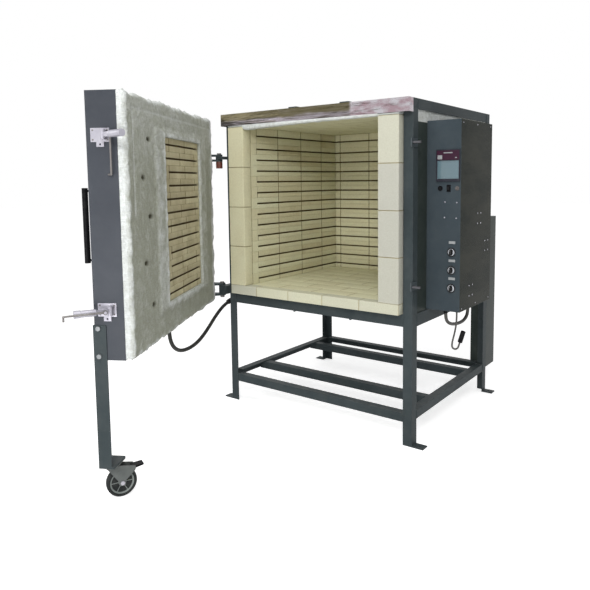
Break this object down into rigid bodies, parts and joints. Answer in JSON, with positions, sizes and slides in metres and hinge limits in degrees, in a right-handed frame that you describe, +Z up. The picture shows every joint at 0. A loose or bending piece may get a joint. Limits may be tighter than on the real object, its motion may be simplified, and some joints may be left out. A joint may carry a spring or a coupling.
{
  "type": "front-loading kiln",
  "caption": "Front-loading electric kiln: brick chamber on an angle-iron stand, hinged fibre-lined door on a caster, latches, control box with screen, switches and knobs.",
  "frame": {"origin": "centre of the footprint at floor level, with the door standing open as in the picture", "axes": "+X to the right of a person who faces the kiln, +Y from the front of the kiln to its back, +Z up"},
  "size_m": [1.5808, 2.5236, 1.717],
  "materials": {
    "frame_paint": "dark slate powder coat on welded angle iron",
    "door_paint": "slate blue-grey powder coat",
    "panel_paint": "dark greenish grey powder coat",
    "box_paint": "dark greenish grey powder coat",
    "galvanised_sheet": "galvanised",
    "mirror_steel": "bright annealed stainless steel",
    "zinc_plate": "bright zinc plate",
    "pin_steel": "bare steel, slightly rusted",
    "switch_metal": "plated",
    "firebrick": "matte porous cream insulating firebrick",
    "ceramic_fibre": "matte ceramic-fibre board and blanket",
    "element_wire": "oxidised resistance wire",
    "ceramic_sheath": "matte ceramic",
    "controller_face": "printed overlay",
    "screen_glass": "pale lit screen",
    "black_plastic": "moulded",
    "knob_plastic": "moulded grip on a bright skirt",
    "lamp_lens": "translucent red",
    "cable_jacket": "black jacket",
    "hub_plastic": "moulded grey",
    "tyre_rubber": "dark grey rubber tread"
  },
  "bodies": {
    "kiln": {"uprights": "frame_paint", "floor_tabs": "frame_paint", "shelf_rails": "frame_paint", "shelf_cross_bars": "frame_paint", "chamber_rails": "frame_paint", "floor_cross_angles": "frame_paint", "top_rails": "frame_paint", "roof_straps": "frame_paint", "frame_hinge_arms": "frame_paint", "floor_sheet": "galvanised_sheet", "floor_bricks": "firebrick", "side_walls": "firebrick", "back_wall": "firebrick", "front_columns": "firebrick", "roof_bricks": "firebrick", "lintel_fibre": "ceramic_fibre", "case_insulation": "ceramic_fibre", "heating_elements": "element_wire", "side_panels": "panel_paint", "back_panel": "panel_paint", "rear_wireway": "panel_paint", "control_box": "box_paint", "front_trim": "mirror_steel", "thermocouple": "ceramic_sheath", "controller_frame": "controller_face", "controller_screen": "screen_glass", "switch_collars": "switch_metal", "pilot_lamp": "lamp_lens", "box_components": "black_plastic", "cable_glands": "black_plastic", "cable_loop": "cable_jacket", "cable_tail": "cable_jacket", "cable_connector": "black_plastic", "door_conduit": "cable_jacket", "keeper_pegs": "zinc_plate"},
    "door": {"door_pan": "door_paint", "door_lining": "ceramic_fibre", "door_bricks": "firebrick", "door_elements": "element_wire", "door_hinge_lugs": "frame_paint", "hinge_pins": "pin_steel", "pull_handle": "black_plastic", "latch_plates": "zinc_plate", "door_leg": "frame_paint", "leg_bolts": "zinc_plate", "caster_plate": "zinc_plate", "door_conduit_fitting": "black_plastic"},
    "upper_lever": {"upper_latch_lever": "zinc_plate"},
    "upper_rod": {"upper_hook_rod": "zinc_plate"},
    "lower_lever": {"lower_latch_lever": "zinc_plate"},
    "lower_rod": {"lower_hook_rod": "zinc_plate"},
    "caster": {"caster_fork": "zinc_plate"},
    "caster_wheel": {"caster_hub": "hub_plastic", "caster_tyre": "tyre_rubber"},
    "caster_brake": {"brake_pedal": "black_plastic"},
    "power_rocker": {"power_switch": "black_plastic"},
    "start_button": {"push_button": "black_plastic"},
    "knob_low": {"selector_knob_1": "knob_plastic"},
    "knob_middle": {"selector_knob_2": "knob_plastic"},
    "knob_high": {"selector_knob_3": "knob_plastic"}
  },
  "joints": [
    {"name": "door_hinge", "type": "hinge", "parent": "kiln", "child": "door", "pos_m": [-0.6436, 0.0841, 0], "axis": [0, 0, 1], "range_deg": [-75, 60.3], "deforming": ["door_conduit"]},
    {"name": "upper_lever_pivot", "type": "hinge", "parent": "door", "child": "upper_lever", "pos_m": [-0.10302, -1.09312, 1.511], "axis": [0, 0, 1], "range_deg": [-138, 4]},
    {"name": "upper_rod_pivot", "type": "hinge", "parent": "upper_lever", "child": "upper_rod", "pos_m": [-0.08162, -1.07517, 1.511], "axis": [0.075, 0.9972, 0], "range_deg": [-80, 2]},
    {"name": "lower_lever_pivot", "type": "hinge", "parent": "door", "child": "lower_lever", "pos_m": [-0.10302, -1.09312, 0.82], "axis": [0, 0, 1], "range_deg": [-26, 94]},
    {"name": "lower_rod_pivot", "type": "hinge", "parent": "lower_lever", "child": "lower_rod", "pos_m": [-0.0944, -1.11969, 0.82], "axis": [0.8965, -0.4431, 0], "range_deg": [0, 85]},
    {"name": "caster_swivel", "type": "hinge", "parent": "door", "child": "caster", "pos_m": [-0.19795, -1.04779, 0.14], "axis": [0, 0, 1], "continuous": true},
    {"name": "caster_wheel_spin", "type": "hinge", "parent": "caster", "child": "caster_wheel", "pos_m": [-0.18347, -1.01418, 0.0635], "axis": [-0.9184, 0.3957, 0], "continuous": true},
    {"name": "brake_pedal_pivot", "type": "hinge", "parent": "caster", "child": "caster_brake", "pos_m": [-0.16449, -0.97009, 0.118], "axis": [-0.9184, 0.3957, 0], "range_deg": [0, 18]},
    {"name": "power_switch_rocker", "type": "hinge", "parent": "kiln", "child": "power_rocker", "pos_m": [0.7284, 0.2654, 1.28], "axis": [1, 0, 0], "range_deg": [0, 24]},
    {"name": "start_button_press", "type": "slide", "parent": "kiln", "child": "start_button", "axis": [0, 1, 0], "range_m": [0, 0.003], "stiffness_N_per_m": 600, "springref_m": -0.001},
    {"name": "selector_low_turn", "type": "hinge", "parent": "kiln", "child": "knob_low", "pos_m": [0.7454, 0.2654, 0.788], "axis": [0, 1, 0], "range_deg": [0, 270]},
    {"name": "selector_middle_turn", "type": "hinge", "parent": "kiln", "child": "knob_middle", "pos_m": [0.7454, 0.2654, 0.8775], "axis": [0, 1, 0], "range_deg": [0, 270]},
    {"name": "selector_high_turn", "type": "hinge", "parent": "kiln", "child": "knob_high", "pos_m": [0.7454, 0.2654, 0.967], "axis": [0, 1, 0], "range_deg": [0, 270]}
  ]
}
